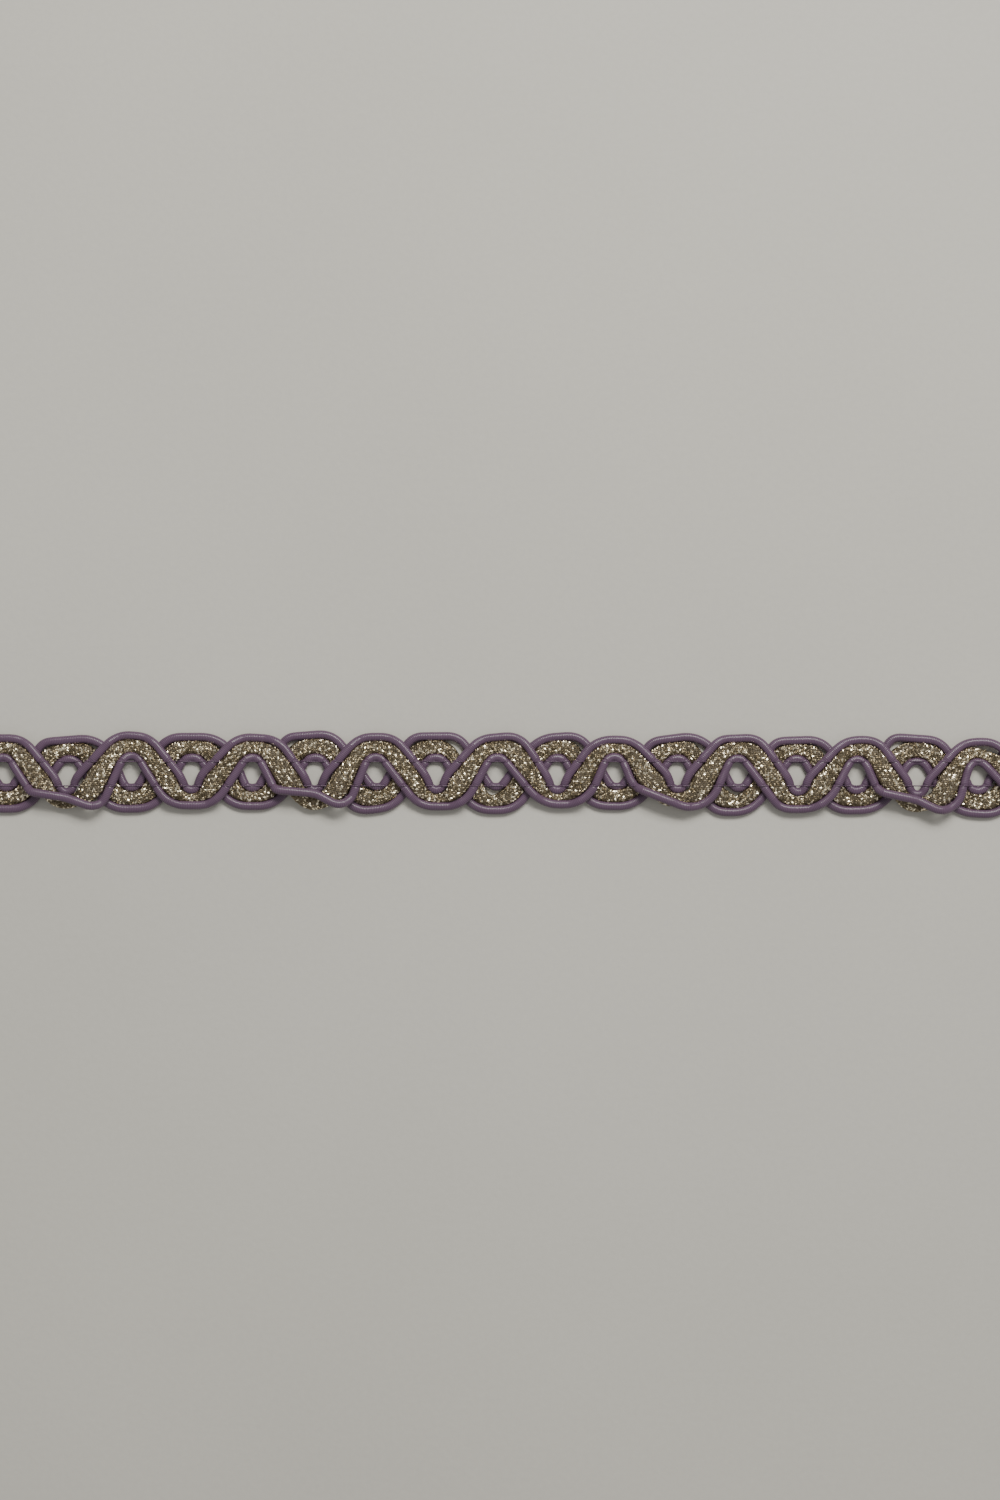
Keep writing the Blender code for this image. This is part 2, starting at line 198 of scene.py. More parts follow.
@dataclass(frozen=True)
class Line:
    """How finely a cord's line is drawn and how much it is softened, in millimetres."""

    step: float = 0.15
    soften_reach: float = 0.7

    def mean(self, values: Floats, reach: float) -> Floats:
        """Average values over a reach to both sides of each point.

        Args:
            values: one value a point of an even line.
            reach: the distance to both sides, in millimetres.

        Returns:
            The averages, one a point.
        """
        half = round(reach / self.step)
        padded = np.pad(values, half, mode="edge")
        return np.convolve(padded, np.full(2 * half + 1, 1.0 / (2 * half + 1)), mode="valid")

    def most(self, values: Floats, reach: float) -> Floats:
        """Find the highest value within a reach to both sides of each point.

        Args:
            values: one value a point of an even line.
            reach: the distance to both sides, in millimetres.

        Returns:
            The highest values, one a point.
        """
        half = round(reach / self.step)
        padded = np.pad(values, half, mode="edge")
        return np.lib.stride_tricks.sliding_window_view(padded, 2 * half + 1).max(axis=1)

    def spaced(self, points: Floats) -> Floats:
        """Place points at even steps along the line through the given ones.

        Args:
            points: the corners of the line, one a row.

        Returns:
            The evenly spaced points.
        """
        lengths = np.linalg.norm(np.diff(points, axis=0), axis=1)
        along = np.concatenate([[0.0], np.cumsum(lengths)])
        wanted = np.linspace(0.0, along[-1], int(along[-1] / self.step) + 1)
        columns = [np.interp(wanted, along, points[:, axis]) for axis in range(points.shape[1])]
        return np.stack(columns, axis=1)

    def round_turns(self, turns: list[Turn]) -> Floats:
        """Pull a line over and under turns, straight between them, and soften it a little.

        Args:
            turns: the bends in order.

        Returns:
            The points of the line in plan.
        """
        centres = [np.array((turn.x, turn.y - turn.side.value * turn.radius)) for turn in turns]
        headings = [0.0]
        for index in range(len(turns) - 1):
            way = centres[index + 1] - centres[index]
            near, far = turns[index], turns[index + 1]
            offset = near.side.value * near.radius - far.side.value * far.radius
            headings.append(math.atan2(way[1], way[0]) - math.asin(offset / math.hypot(*way)))
        headings.append(0.0)
        points = []
        for turn, centre, arriving, leaving in zip(turns, centres, headings, headings[1:]):
            count = max(1, math.ceil(abs(leaving - arriving) * turn.radius / self.step))
            for heading in np.linspace(arriving, leaving, count + 1):
                outward = np.array((-math.sin(heading), math.cos(heading)))
                points.append(centre + outward * turn.side.value * turn.radius)
        line = self.spaced(np.array(points))
        return np.stack([self.mean(line[:, axis], self.soften_reach) for axis in (0, 1)], axis=1)


def distances(points: Floats, others: Floats) -> Floats:
    """Measure in plan from points to other points: a row of distances for each point."""
    apart = points[:, None, :2] - others[None, :, :2]
    return np.hypot(apart[..., 0], apart[..., 1])


@dataclass(frozen=True)
class Strand:
    """A cord as it lies: its line in plan, and at each point its underside, half width and height."""

    plan: Floats
    underside: Floats
    half_width: Floats
    height: Floats

    def middle(self) -> Floats:
        """Return the points of the cord's centre line."""
        return np.column_stack([self.plan, self.underside + self.height / 2])

    def part(self, kept: NDArray[np.bool_]) -> "Strand":
        """Return the marked points of the cord."""
        return Strand(self.plan[kept], self.underside[kept], self.half_width[kept],
                      self.height[kept])


@dataclass(frozen=True)
class Laying:
    """How cords lie beside and over each other, in millimetres."""

    line: Line = Line()
    side_squeeze: float = 0.2
    crossing_squeeze: float = 0.06
    reach_beyond: float = 0.15
    lift_reach: float = 0.9
    swell_reach: float = 0.5
    rise_power: int = 3

    def lay(self, plan: Floats, half_width: Floats, height: Floats, rest: float,
            below: list[Strand]) -> Strand:
        """Lay a cord at a height, or higher where it crosses what is below.

        Args:
            plan: the line of the cord in plan.
            half_width: half of the cord's width at each point.
            height: the cord's height at each point.
            rest: the height of its underside where nothing is below.
            below: the cords that it lies over.

        Returns:
            The cord as it lies.
        """
        needed = np.full(len(plan), rest)
        for other in below:
            apart = distances(plan, other.plan)
            reach = half_width[:, None] + other.half_width[None, :] + self.reach_beyond
            share = np.clip(1.0 - (apart / reach) ** self.rise_power, 0.0, None)
            share = share ** (1.0 / self.rise_power)
            rise = (height[:, None] + other.height[None, :]) / 2 - self.crossing_squeeze
            centre = (other.underside + other.height / 2)[None, :] + rise * share
            clear = np.where(share > 0.0, centre - height[:, None] / 2, rest)
            needed = np.maximum(needed, clear.max(axis=1))
        lifted = self.line.mean(self.line.most(needed, self.lift_reach), self.lift_reach)
        return Strand(plan, lifted, half_width, height)


@dataclass(frozen=True)
class Band:
    """A wavy band of three cords: its lobes, and how its gimps and its core lie."""

    name: str
    lobes: tuple[Lobe, ...]
    first_side: Side
    rest: float
    slipped: dict[int, tuple[Turn, ...]] = field(default_factory=dict)
    bare_edges: dict[int, tuple[Turn, ...]] = field(default_factory=dict)
    core_slips: tuple[Slip, ...] = ()
    waisted: bool = False
    gimp_width: float = 1.52
    gimp_height: float = 1.25
    gimp_inset: float = 0.22
    core_width: float = 2.4
    core_height: float = 1.35
    core_least_scale: float = 0.62
    core_most_scale: float = 1.4
    centring_rounds: int = 3
    centring_reach: float = 0.6
    waist_half: float = 2.0
    waist_rise: float = 2.8
    waist_turn: float = 2.2
    waist_slope: float = math.radians(57)
    crossed_share: float = 0.8

    def side_of(self, row: int) -> Side:
        """Say whether the lobe in a row is a crest or a trough."""
        return self.first_side if row % 2 == 0 else Side(-self.first_side.value)

    def waist(self, lobe: Lobe, hand: int) -> Turn:
        """Find the bend beside a narrow loop.

        Args:
            lobe: the lobe that the loop is in.
            hand: -1 for the bend on its left and 1 for the one on its right.

        Returns:
            The bend.
        """
        slope = self.waist_slope * hand
        x = lobe.inner + hand * self.waist_half + self.waist_turn * math.sin(slope)
        y = lobe.inner_y + self.waist_rise + self.waist_turn * (1.0 - math.cos(slope))
        return Turn(x, y, self.waist_turn, Side.CREST)

    def gimp_turns(self, cord_side: Side, with_slips: bool) -> list[Turn]:
        """List the turns of a gimp.

        Args:
            cord_side: CREST for the upper gimp and TROUGH for the lower one.
            with_slips: whether the gimp lies where it has slipped to, or bounds the core there.

        Returns:
            The turns in order along the trim.
        """
        turns: list[Turn] = []
        for row, lobe in enumerate(self.lobes):
            side = self.side_of(row)
            inner = Turn(lobe.inner, lobe.inner_y, lobe.inner_turn, side)
            if side is not cord_side and self.waisted and cord_side is Side.CREST:
                turns += [self.waist(lobe, -1), inner, self.waist(lobe, 1)]
            elif side is not cord_side:
                turns.append(inner)
            elif row in self.slipped:
                turns += (self.slipped if with_slips else self.bare_edges)[row]
            else:
                inset = side.value * self.gimp_inset
                turns.append(Turn(lobe.left, lobe.left_y - inset, lobe.left_turn, side))
                turns.append(Turn(lobe.right, lobe.right_y - inset, lobe.right_turn, side))
        return turns

    def core_turns(self) -> list[Turn]:
        """List the turns of the core, half way between those of its two gimps.

        Returns:
            The turns in order along the trim.
        """
        turns = []
        for row, lobe in enumerate(self.lobes):
            shoulders = ((lobe.left, lobe.left_y, lobe.left_turn),
                         (lobe.right, lobe.right_y, lobe.right_turn))
            for x, y, radius in shoulders:
                turns.append(Turn((x + lobe.inner) / 2, (y + lobe.inner_y) / 2,
                                  (radius + lobe.inner_turn) / 2, self.side_of(row)))
        return turns

    def centred_core(self, line: Line, upper_plan: Floats, lower_plan: Floats) -> Floats:
        """Find the core's line: midway between its gimps, or down on the lower one in a wide lobe.

        Args:
            line: how finely lines are drawn.
            upper_plan: the line of the upper gimp.
            lower_plan: the line of the lower gimp.

        Returns:
            The points of the core's line in plan.
        """
        plan = line.round_turns(self.core_turns())
        fullest = self.core_width / 2 * self.core_most_scale + self.gimp_width / 2
        for _ in range(self.centring_rounds):
            to_upper = upper_plan[distances(plan, upper_plan).argmin(axis=1)]
            to_lower = lower_plan[distances(plan, lower_plan).argmin(axis=1)]
            across = to_upper - to_lower
            room = np.linalg.norm(across, axis=1)
            spare = np.clip(room / 2 - fullest, 0.0, None)
            for slip in self.core_slips:
                spare += slip.depth * np.exp(-((plan[:, 0] - slip.x) / slip.reach) ** 2)
            middle = (to_upper + to_lower) / 2 - across * (spare / room)[:, None]
            smooth = [line.mean(middle[:, axis], self.centring_reach) for axis in (0, 1)]
            plan = line.spaced(np.stack(smooth, axis=1))
        return plan

    def lay(self, laying: Laying, below: list[Strand]) -> dict[Cord, Strand]:
        """Lay the band's three cords.

        Args:
            laying: how cords lie beside and over each other.
            below: the cords of the band underneath, if there is one.

        Returns:
            The cords as they lie.
        """
        line = laying.line
        upper_plan = line.round_turns(self.gimp_turns(Side.CREST, False))
        lower_plan = line.round_turns(self.gimp_turns(Side.TROUGH, False))
        core_plan = self.centred_core(line, upper_plan, lower_plan)
        room = np.minimum(distances(core_plan, upper_plan).min(axis=1),
                          distances(core_plan, lower_plan).min(axis=1))
        half_width = room - self.gimp_width / 2 + laying.side_squeeze
        reach = laying.swell_reach
        half_width = line.mean(-line.most(-half_width, reach), reach)
        scale = np.clip(half_width / (self.core_width / 2), self.core_least_scale,
                        self.core_most_scale)
        core = laying.lay(core_plan, self.core_width / 2 * scale,
                          self.core_height * np.minimum(scale, 1.0), self.rest, below)
        if self.slipped:
            lower_plan = line.round_turns(self.gimp_turns(Side.TROUGH, True))
        gimps = []
        for plan in (upper_plan, lower_plan):
            half = np.full(len(plan), self.gimp_width / 2)
            height = np.full(len(plan), self.gimp_height)
            gimps.append(laying.lay(plan, half, height, self.rest, below + self.over_core(core, plan)))
        return {Cord.CORE: core, Cord.UPPER_GIMP: gimps[0], Cord.LOWER_GIMP: gimps[1]}

    def over_core(self, core: Strand, plan: Floats) -> list[Strand]:
        """Return the stretch of the core that a slipped gimp lies across, or nothing."""
        crossed = distances(core.plan, plan).min(axis=1) < core.half_width * self.crossed_share
        return [core.part(crossed)] if self.slipped and crossed.any() else []


# Node trees


def math_operator(operation: str, swapped: bool = False) -> "Callable[[Value, Value | float], Value]":
    """Make an operator of values that adds a Math node.

    Args:
        operation: what the node does.
        swapped: whether the other number comes first, as in 1 - value.

    Returns:
        The operator.
    """
    def operator(value: "Value", other: "Value | float") -> "Value":
        """Add the Math node."""
        return value.builder.math(operation, *((other, value) if swapped else (value, other)))

    return operator


@dataclass(frozen=True)
class Value:
    """An output socket of a node tree that can be used in sums."""

    builder: "TreeBuilder"
    socket: bpy.types.NodeSocket

    __add__ = math_operator("ADD")
    __radd__ = math_operator("ADD", True)
    __sub__ = math_operator("SUBTRACT")
    __rsub__ = math_operator("SUBTRACT", True)
    __mul__ = math_operator("MULTIPLY")
    __rmul__ = math_operator("MULTIPLY", True)
    __truediv__ = math_operator("DIVIDE")
    __rtruediv__ = math_operator("DIVIDE", True)
    __mod__ = math_operator("MODULO")
    __pow__ = math_operator("POWER")


@dataclass(frozen=True)
class Placed:
    """A node in a tree, whose outputs are picked by name or number."""

    builder: "TreeBuilder"
    node: bpy.types.Node

    def __getitem__(self, key: str | int) -> Value:
        """Return an output socket as a value."""
        return Value(self.builder, self.node.outputs[key])


class TreeBuilder:
    """Adds nodes to a node tree."""

    def __init__(self, tree: bpy.types.NodeTree) -> None:
        """Start with the node tree that gets the nodes."""
        self.tree = tree

    def node(self, kind: str, settings: dict[str, Any] | None = None,
             inputs: dict[str | int, Any] | None = None) -> Placed:
        """Add a node.

        Args:
            kind: the node's type.
            settings: its properties; "stops" gives the places and colours of a ramp, and
                "captures" the names of the numbers that it captures.
            inputs: the values or links of its sockets, by name or number.

        Returns:
            The node.
        """
        node = self.tree.nodes.new(kind)
        for name, value in (settings or {}).items():
            if name == "stops":
                self.set_stops(node.color_ramp, value)
            elif name == "captures":
                for item in value:
                    node.capture_items.new("FLOAT", item)
            else:
                setattr(node, name, value)
        for key, value in (inputs or {}).items():
            self.feed(node.inputs[key], value)
        return Placed(self, node)

    def set_stops(self, ramp: bpy.types.ColorRamp, stops: tuple[tuple[float, Colour], ...]) -> None:
        """Set the stops of a colour ramp.

        Args:
            ramp: the ramp.
            stops: the place and colour of each stop.
        """
        while len(ramp.elements) > 1:
            ramp.elements.remove(ramp.elements[-1])
        ramp.elements[0].position = stops[0][0]
        ramp.elements[0].color = (*stops[0][1], 1.0)
        for place, colour in stops[1:]:
            ramp.elements.new(place).color = (*colour, 1.0)

    def feed(self, socket: bpy.types.NodeSocket, value: Any) -> None:
        """Link a value to an input socket, or set the socket.

        Args:
            socket: the input socket.
            value: an output to link, or the number, vector, colour or material to set.
        """
        if isinstance(value, Value):
            self.tree.links.new(value.socket, socket)
        elif socket.type == "RGBA" and len(value) == 3:
            socket.default_value = (*value, 1.0)
        else:
            socket.default_value = value

    def math(self, operation: str, left: Value | float, right: Value | float = 0.0) -> Value:
        """Add a Math node, whose second input may be left out, and return its result."""
        return self.node("ShaderNodeMath", {"operation": operation}, {0: left, 1: right})[0]

    def vector(self, x: Value | float, y: Value | float, z: Value | float) -> Value:
        """Join three numbers into a vector."""
        return self.node("ShaderNodeCombineXYZ", {}, {0: x, 1: y, 2: z})[0]

    def scaled(self, vector: Value, factor: Value | float) -> Value:
        """Multiply a vector by a number."""
        return self.node("ShaderNodeVectorMath", {"operation": "SCALE"},
                         {"Vector": vector, "Scale": factor})["Vector"]

    def mixed(self, share: Value, first: Value | Colour, second: Value | Colour) -> Value:
        """Mix a share of the second colour into the first."""
        return self.node("ShaderNodeMix", {"data_type": "RGBA"}, {0: share, 6: first, 7: second})[2]


class GeometryTree(TreeBuilder):
    """A Geometry Nodes tree with named inputs that makes one piece's mesh."""

    def __init__(self, name: str) -> None:
        """Start a tree with a geometry input and output.

        Args:
            name: the tree's name.
        """
        tree = bpy.data.node_groups.new(name, "GeometryNodeTree")
        tree.interface.new_socket("Geometry", in_out="INPUT", socket_type="NodeSocketGeometry")
        tree.interface.new_socket("Geometry", in_out="OUTPUT", socket_type="NodeSocketGeometry")
        super().__init__(tree)
        self.values: dict[str, Any] = {}
        self.entry: Placed | None = None

    def open(self, lengths: dict[str, float], others: dict[str, Any]) -> Placed:
        """Name the tree's inputs and give their values.

        Args:
            lengths: the inputs that are lengths, in millimetres, by name.
            others: the other inputs.

        Returns:
            The node that holds the inputs.
        """
        values = {name: length * METRES_PER_MM for name, length in lengths.items()} | others
        kinds = {bool: "NodeSocketBool", int: "NodeSocketInt", float: "NodeSocketFloat"}
        for name, value in values.items():
            kind = kinds.get(type(value), "NodeSocketMaterial")
            self.tree.interface.new_socket(name, in_out="INPUT", socket_type=kind)
        self.values = values
        self.entry = self.node("NodeGroupInput")
        return self.entry

    def close(self, geometry: Value, finish: str) -> None:
        """End the tree by making instances real and setting the finish.

        Args:
            geometry: the geometry to finish.
            finish: the name of the input that holds the material.
        """
        real = self.node("GeometryNodeRealizeInstances", {}, {"Geometry": geometry})
        dressed = self.node("GeometryNodeSetMaterial", {},
                            {"Geometry": real["Geometry"], "Material": self.entry[finish]})
        self.node("NodeGroupOutput", {}, {0: dressed["Geometry"]})

    def result(self, source: bpy.types.Object) -> bpy.types.Mesh:
        """Run the tree on an object and remove the object.

        Args:
            source: the object that the tree starts from.

        Returns:
            What the tree makes, as a plain mesh.
        """
        modifier = source.modifiers.new("shape", "NODES")
        modifier.node_group = self.tree
        for item in self.tree.interface.items_tree:
            if item.item_type == "SOCKET" and item.in_out == "INPUT" and item.name in self.values:
                modifier[item.identifier] = self.values[item.name]
        graph = bpy.context.evaluated_depsgraph_get()
        mesh = bpy.data.meshes.new_from_object(source.evaluated_get(graph))
        source.modifiers.remove(modifier)
        bpy.data.objects.remove(source, do_unlink=True)
        for label in PATH_NUMBERS:
            if label in mesh.attributes:
                mesh.attributes.remove(mesh.attributes[label])
        return mesh

    def number(self, name: str) -> Value:
        """Return a number that the geometry holds."""
        return self.node("GeometryNodeInputNamedAttribute", {"data_type": "FLOAT"},
                         {"Name": name})["Attribute"]

    def position(self) -> Placed:
        """Return the three parts of a point's place."""
        return self.node("ShaderNodeSeparateXYZ", {}, {0: self.node("GeometryNodeInputPosition")[0]})

    def moved(self, geometry: Value, place: Value) -> Value:
        """Set the place of every point."""
        return self.node("GeometryNodeSetPosition", {}, {"Geometry": geometry, "Position": place})[0]

    def upright_path(self, geometry: Value, step: Value | float) -> Value:
        """Turn the line of a cord into an evenly stepped curve that stands upright.

        Args:
            geometry: the line.
            step: the length of a step, in metres.

        Returns:
            The curve.
        """
        curve = self.node("GeometryNodeMeshToCurve", {}, {"Mesh": geometry})
        even = self.node("GeometryNodeResampleCurve", {"mode": "LENGTH"},
                         {"Curve": curve["Curve"], "Length": step})
        return self.node("GeometryNodeSetCurveNormal", {"mode": "Z_UP"},
                         {"Curve": even["Curve"]})["Curve"]

    def section(self, sides: Value, width: Value, height: Value, squareness: float = 2.0) -> Value:
        """Draw the closed outline of a cord's section.

        Args:
            sides: the number of its corners.
            width: its width, in metres.
            height: its height, in metres.
            squareness: 2 for an oval, and more for one with fuller corners.

        Returns:
            The outline.
        """
        circle = self.node("GeometryNodeCurvePrimitiveCircle", {},
                           {"Resolution": sides, "Radius": 0.5})["Curve"]
        place = self.position()
        across = self.math("ABSOLUTE", place["X"]) * 2.0
        up = self.math("ABSOLUTE", place["Y"]) * 2.0
        reach = (across ** squareness + up ** squareness) ** (1.0 / squareness)
        return self.moved(circle, self.vector(place["X"] / reach * width,
                                              place["Y"] / reach * height, 0.0))

    def captured(self, geometry: Value, numbers: dict[str, Value]) -> Placed:
        """Hold numbers of a curve's points for later, by name."""
        return self.node("GeometryNodeCaptureAttribute", {"captures": list(numbers)},
                         dict(enumerate([geometry, *numbers.values()])))

    def stored(self, geometry: Value, name: str, number: Value) -> Value:
        """Keep a number on the points of a mesh, under a name."""
        return self.node("GeometryNodeStoreNamedAttribute", {"data_type": "FLOAT", "domain": "POINT"},
                         {"Geometry": geometry, "Name": name, "Value": number})[0]

    def swept(self, path: Value, outline: Value, capped: bool) -> Value:
        """Sweep a section along a cord's line, as thick and as tall as the line says.

        Args:
            path: the line, as an upright curve.
            outline: the section.
            capped: whether the ends are closed.

        Returns:
            The tube.
        """
        tube = self.node("GeometryNodeCurveToMesh", {}, {
            "Curve": path, "Profile Curve": outline, "Scale": self.number("thick"),
            "Fill Caps": capped})["Mesh"]
        place = self.position()
        middle = self.number("middle")
        height = middle + (place["Z"] - middle) * self.number("tall")
        return self.moved(tube, self.vector(place["X"], place["Y"], height))


class Paint(TreeBuilder):
    """A material's node tree, with its shader at hand."""

    def __init__(self, name: str) -> None:
        """Make a material.

        Args:
            name: the material's name.
        """
        self.material = bpy.data.materials.new(name)
        self.material.use_nodes = True
        super().__init__(self.material.node_tree)
        self.shader = self.tree.nodes["Principled BSDF"]

    def set(self, values: dict[str, Any]) -> None:
        """Set or link sockets of the shader, by name."""
        for name, value in values.items():
            self.feed(self.shader.inputs[name], value)

    def place(self) -> Value:
        """Return the place on the object, in metres."""
        return self.node("ShaderNodeTexCoord")["Object"]

    def noise(self, place: Value, scale: float, detail: float = 2.0) -> Value:
        """Return a noise from 0 to 1 with so many patches a metre and so many layers."""
        return self.node("ShaderNodeTexNoise", {},
                         {"Vector": place, "Scale": scale, "Detail": detail})["Fac"]

    def spread(self, value: Value, low: float, high: float) -> Value:
        """Stretch a value so that low becomes 0 and high becomes 1, and hold it there."""
        return self.node("ShaderNodeMapRange", {"clamp": True},
                         {"Value": value, "From Min": low, "From Max": high})["Result"]

    def attribute(self, name: str) -> Value:
        """Return a number that the mesh holds."""
        return self.node("ShaderNodeAttribute", {"attribute_name": name})["Fac"]

    def bump(self, height: Value, distance: float, strength: float) -> Value:
        """Return a normal that follows a height, of which 1 is this distance in metres."""
        return self.node("ShaderNodeBump", {},
                         {"Height": height, "Distance": distance, "Strength": strength})["Normal"]


# Finishes


@dataclass(frozen=True)
class SatinWrap:
    """Lilac satin thread wound closely round a cord."""

    name: str = "lilac_satin_wrap"
    dark: Colour = (0.075, 0.044, 0.075)
    light: Colour = (0.155, 0.094, 0.155)
    filling: Colour = (0.62, 0.57, 0.5)
    roughness: float = 0.2
    roughness_growth: float = 0.1
    gloss: float = 0.38
    sheen: float = 0.35
    sheen_roughness: float = 0.4
    # share of the colour that is painted shade: dark lilac in the grooves between the wraps, light
    # lilac on the ridges
    painted_groove_shade_share: float = 0.62
    patch_share: float = 0.3
    filament_share: float = 0.14
    darkest_share: float = 0.1
    patch_scale: float = 260.0
    filament_scale: float = 9000.0
    filament_height: float = 0.00002
    filament_strength: float = 0.4

    def material(self) -> bpy.types.Material:
        """Make the material.

        Returns:
            The material.
        """
        paint = Paint(self.name)
        place = paint.place()
        patches = paint.noise(place, self.patch_scale)
        filaments = paint.noise(place, self.filament_scale, 1.0)
        # Painted shade: the colour runs from the dark lilac in the grooves of the wrap to the light
        # lilac on its ridges, mixed with random patches and filaments of tone
        share = paint.attribute("ridge") * self.painted_groove_shade_share + patches * self.patch_share
        share = paint.spread(share + filaments * self.filament_share, self.darkest_share, 1.0)
        colour = paint.mixed(share, self.dark, self.light)
        colour = paint.mixed(paint.attribute("cut"), colour, self.filling)
        paint.set({"Base Color": colour, "Specular IOR Level": self.gloss,
                   "Roughness": self.roughness + filaments * self.roughness_growth,
                   "Sheen Weight": self.sheen, "Sheen Roughness": self.sheen_roughness,
                   "Sheen Tint": self.light,
                   "Normal": paint.bump(filaments, self.filament_height, self.filament_strength)})
        return paint.material


@dataclass(frozen=True)
class Foil:
    """Flat gold foil yarn, crinkled, from olive to pale champagne."""

    name: str = "gold_foil_yarn"
    tones: tuple[tuple[float, Colour], ...] = (
        (0.0, (0.13, 0.1, 0.057)), (0.45, (0.225, 0.182, 0.115)), (0.8, (0.335, 0.28, 0.188)),
        (0.9, (1.0, 0.9, 0.68)))
    roughness: float = 0.28
    roughness_growth: float = 0.12
    bright_power: float = 6.0
    bright_polish: float = 0.14
    crinkle_scale: float = 5200.0
    crinkle_height: float = 0.00003
    crinkle_strength: float = 0.5

    def material(self) -> bpy.types.Material:
        """Make the material.

        Returns:
            The material.
        """
        paint = Paint(self.name)
        place = paint.place()
        tone = paint.attribute("tone")
        crinkle = paint.noise(place, self.crinkle_scale, 1.0)
        colour = paint.node("ShaderNodeValToRGB", {"stops": self.tones}, {"Fac": tone})["Color"]
        rough = self.roughness + crinkle * self.roughness_growth
        paint.set({"Base Color": colour, "Metallic": 1.0,
                   "Roughness": rough - tone ** self.bright_power * self.bright_polish,
                   "Normal": paint.bump(crinkle, self.crinkle_height, self.crinkle_strength)})
        return paint.material


@dataclass(frozen=True)
class Ground:
    """The dull brown yarn inside the gold cores that shows between the foil."""

    name: str = "core_ground"
    dark: Colour = (0.09, 0.071, 0.05)
    light: Colour = (0.21, 0.17, 0.122)
    filling: Colour = (0.5, 0.45, 0.36)
    roughness: float = 0.6
    yarn_scale: float = 2400.0
    yarn_height: float = 0.0001
    yarn_strength: float = 0.5

    def material(self) -> bpy.types.Material:
        """Make the material.

        Returns:
            The material.
        """
        paint = Paint(self.name)
        yarn = paint.noise(paint.place(), self.yarn_scale)
        colour = paint.mixed(yarn, self.dark, self.light)
        colour = paint.mixed(paint.attribute("cut"), colour, self.filling)
        paint.set({"Base Color": colour, "Roughness": self.roughness,
                   "Normal": paint.bump(yarn, self.yarn_height, self.yarn_strength)})
        return paint.material


@dataclass(frozen=True)
class TableTop:
    """The plain pale top that the trim lies on."""

    name: str = "pale_table_top"
    first: Colour = (0.545, 0.53, 0.48)
    second: Colour = (0.6, 0.585, 0.53)
    roughness: float = 0.7
    first_until: float = 0.3
    second_from: float = 0.7
    cloud_scale: float = 9.0
    cloud_detail: float = 4.0
    cloud_share: float = 0.7
    grain_scale: float = 900.0
    grain_detail: float = 3.0
    grain_share: float = 0.3
    grain_height: float = 0.0001
    grain_strength: float = 0.25

    def material(self) -> bpy.types.Material:
        """Make the material.

        Returns:
            The material.
        """
        paint = Paint(self.name)
        place = paint.place()
        clouds = paint.noise(place, self.cloud_scale, self.cloud_detail)
        grain = paint.noise(place, self.grain_scale, self.grain_detail)
        share = paint.spread(clouds * self.cloud_share + grain * self.grain_share,
                             self.first_until, self.second_from)
        paint.set({"Base Color": paint.mixed(share, self.first, self.second),
                   "Roughness": self.roughness,
                   "Normal": paint.bump(grain, self.grain_height, self.grain_strength)})
        return paint.material


# Meshes


def linked(name: str, data: bpy.types.ID) -> bpy.types.Object:
    """Make an object in the scene.

    Args:
        name: its name.
        data: the mesh, light or camera that it holds.

    Returns:
        The object.
    """
    made = bpy.data.objects.new(name, data)
    bpy.context.scene.collection.objects.link(made)
    return made


def path_object(name: str, strand: Strand, width: float, height: float) -> bpy.types.Object:
    """Make an object that is the centre line of a cord.

    Args:
        name: its name.
        strand: the cord as it lies.
        width: the cord's full width in millimetres.
        height: its full height in millimetres.

    Returns:
        The object. Its points hold the numbers "thick", the share of the full width, "tall", the
        share of the full height for each share of the width, and "middle", the height in metres.
    """
    points = strand.middle() * METRES_PER_MM
    thick = strand.half_width / (width / 2)
    mesh = bpy.data.meshes.new(name)
    mesh.from_pydata(points.tolist(), [(index, index + 1) for index in range(len(points) - 1)], [])
    for label, values in zip(PATH_NUMBERS, (thick, strand.height / height / thick, points[:, 2])):
        mesh.attributes.new(label, "FLOAT", "POINT").data.foreach_set("value", values)
    return linked(name, mesh)


def piece_object(name: str, mesh: bpy.types.Mesh, nodes: tuple[str, ...]) -> bpy.types.Object:
    """Make a piece of the trim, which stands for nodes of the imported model.

    Args:
        name: the piece's name.
        mesh: its mesh.
        nodes: the nodes that it stands for.

    Returns:
        The piece.
    """
    mesh.name = name
    piece = linked(name, mesh)
    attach(piece, BODY)
    if nodes:
        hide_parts(*nodes)
    return piece


@dataclass(frozen=True)
class SquareCut:
    """The cuts at both ends of the trim."""

    length: float = 187.0

    def shortened(self, margin: float) -> "SquareCut":
        """Return cuts that lie this far inside these ones, in millimetres."""
        return SquareCut(self.length - 2 * margin)

    def stretch(self, strand: Strand, margin: float) -> Strand:
        """Take the stretch of a cord that goes this far past the cuts, in millimetres."""
        return strand.part(np.abs(strand.plan[:, 0]) < self.length / 2 + margin)

    def trim(self, mesh: bpy.types.Mesh) -> None:
        """Cut a tube off square at both ends and mark the cut faces.

        Args:
            mesh: the mesh of the tube.
        """
        work = bmesh.new()
        work.from_mesh(mesh)
        cut = work.verts.layers.float.new("cut")
        for end in (-1, 1):
            everything = work.verts[:] + work.edges[:] + work.faces[:]
            bmesh.ops.bisect_plane(
                work, geom=everything, clear_outer=True, plane_no=(end, 0, 0),
                plane_co=(end * self.length / 2 * METRES_PER_MM, 0, 0))
            rim = [edge for edge in work.edges if edge.is_boundary and edge.verts[0].co.x * end > 0.0]
            filled = bmesh.ops.holes_fill(work, edges=rim)["faces"]
            copied = bmesh.ops.split(work, geom=filled)["geom"]
            for element in copied:
                if isinstance(element, bmesh.types.BMVert):
                    element[cut] = 1.0
                elif isinstance(element, bmesh.types.BMFace):
                    element.smooth = False
        work.to_mesh(mesh)
        work.free()


